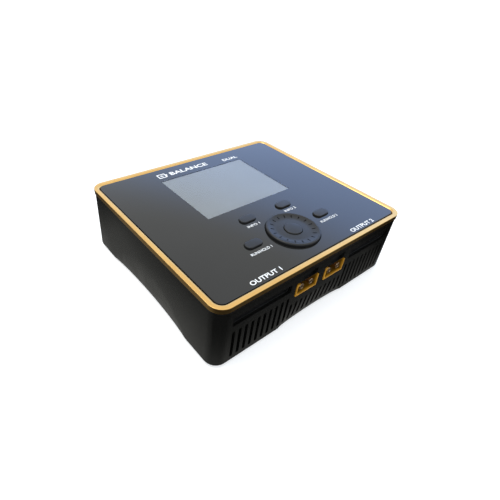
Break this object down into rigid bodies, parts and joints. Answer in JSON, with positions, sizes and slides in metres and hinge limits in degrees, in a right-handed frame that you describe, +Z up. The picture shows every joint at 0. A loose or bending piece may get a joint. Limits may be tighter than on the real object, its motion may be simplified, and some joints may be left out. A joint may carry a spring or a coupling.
{
  "type": "balance battery charger",
  "caption": "Flat boxy battery charger with a gloss top panel, display, jog wheel and buttons; output connectors, balance ports and vents in front, fans and power inlet behind.",
  "frame": {"origin": "on the resting plane under the centre of the case", "axes": "+Z up, +X to the right of someone facing the connectors, the connector wall faces -Y"},
  "size_m": [0.142, 0.124, 0.0431],
  "materials": {
    "case_plastic": "fine satin moulded black",
    "gold_ring": "satin gold",
    "panel_gloss": "high gloss black",
    "screen_lens": "clear polished",
    "bezel_steel": "plain pressed sheet",
    "lcd_screen": "dark display, switched off",
    "white_plastic": "plain",
    "circuit_board": "solder mask",
    "ribbon_film": "polyimide film",
    "switch_metal": "plain",
    "black_plastic": "moulded",
    "fan_plastic": "moulded",
    "control_plastic": "satin moulded",
    "plunger_plastic": "moulded",
    "connector_amber": "moulded nylon",
    "gold_contact": "gold flashed",
    "tinned_contact": "tin plated",
    "heatsink_alloy": "extruded",
    "ferrite": "sintered ferrite",
    "copper": "enamelled copper",
    "capacitor_can": "sleeved can",
    "fuse_body": "ceramic",
    "screw_steel": "black oxide",
    "foot_rubber": "soft matt",
    "white_print": "pad-printed ink on the panel"
  },
  "bodies": {
    "case": {"accent_ring": "gold_ring", "balance_pins_1": "tinned_contact", "balance_pins_2": "tinned_contact", "balance_socket_1": "black_plastic", "balance_socket_2": "black_plastic", "board_screws": "screw_steel", "buzzer": "black_plastic", "capacitors": "capacitor_can", "case_screws": "screw_steel", "control_chips": "black_plastic", "display_board": "circuit_board", "display_ribbon": "ribbon_film", "display_screws": "screw_steel", "display_window": "screen_lens", "encoder_body": "black_plastic", "fan_frame_1": "black_plastic", "fan_frame_2": "black_plastic", "fan_screws": "screw_steel", "fuses": "fuse_body", "heatsink_1": "heatsink_alloy", "heatsink_2": "heatsink_alloy", "heatsink_screws": "screw_steel", "inductor_coils": "copper", "inductor_cores": "ferrite", "input_pins": "gold_contact", "input_shell": "connector_amber", "lcd_backlight": "white_plastic", "lcd_bezel": "bezel_steel", "lcd_glass": "lcd_screen", "link_header": "black_plastic", "lower_case": "case_plastic", "main_board": "circuit_board", "output_pins_1": "gold_contact", "output_pins_2": "gold_contact", "output_shell_1": "connector_amber", "output_shell_2": "connector_amber", "ribbon_socket": "white_plastic", "rubber_feet": "foot_rubber", "shunts": "copper", "switch_bodies": "switch_metal", "top_frame": "case_plastic", "top_panel": "panel_gloss", "transistors": "black_plastic", "usb_shell": "bezel_steel", "usb_tongue": "black_plastic"},
    "jog_wheel": {"jog_wheel": "control_plastic", "encoder_rotor": "switch_metal"},
    "centre_button": {"centre_button": "control_plastic", "centre_plunger": "plunger_plastic"},
    "status_button_1": {"status_button_1": "control_plastic", "status_plunger_1": "plunger_plastic"},
    "status_button_2": {"status_button_2": "control_plastic", "status_plunger_2": "plunger_plastic"},
    "start_button_1": {"start_button_1": "control_plastic", "start_plunger_1": "plunger_plastic"},
    "start_button_2": {"start_button_2": "control_plastic", "start_plunger_2": "plunger_plastic"},
    "fan_rotor_1": {"fan_rotor_1": "fan_plastic"},
    "fan_rotor_2": {"fan_rotor_2": "fan_plastic"}
  },
  "joints": [
    {"name": "jog_wheel_spin", "type": "hinge", "parent": "case", "child": "jog_wheel", "pos_m": [0, -0.0376, 0.042], "axis": [0, 0, 1], "continuous": true},
    {"name": "centre_press", "type": "slide", "parent": "case", "child": "centre_button", "axis": [0, 0, -1], "range_m": [0, 0.0003], "stiffness_N_per_m": 2500, "springref_m": -0.0002},
    {"name": "status_press_1", "type": "slide", "parent": "case", "child": "status_button_1", "axis": [0, 0, -1], "range_m": [0, 0.0003], "stiffness_N_per_m": 2500, "springref_m": -0.0002},
    {"name": "status_press_2", "type": "slide", "parent": "case", "child": "status_button_2", "axis": [0, 0, -1], "range_m": [0, 0.0003], "stiffness_N_per_m": 2500, "springref_m": -0.0002},
    {"name": "start_press_1", "type": "slide", "parent": "case", "child": "start_button_1", "axis": [0, 0, -1], "range_m": [0, 0.0003], "stiffness_N_per_m": 2500, "springref_m": -0.0002},
    {"name": "start_press_2", "type": "slide", "parent": "case", "child": "start_button_2", "axis": [0, 0, -1], "range_m": [0, 0.0003], "stiffness_N_per_m": 2500, "springref_m": -0.0002},
    {"name": "fan_spin_1", "type": "hinge", "parent": "case", "child": "fan_rotor_1", "pos_m": [-0.046, 0.0544, 0.019], "axis": [0, 1, 0], "continuous": true},
    {"name": "fan_spin_2", "type": "hinge", "parent": "case", "child": "fan_rotor_2", "pos_m": [0.046, 0.0544, 0.019], "axis": [0, 1, 0], "continuous": true}
  ]
}
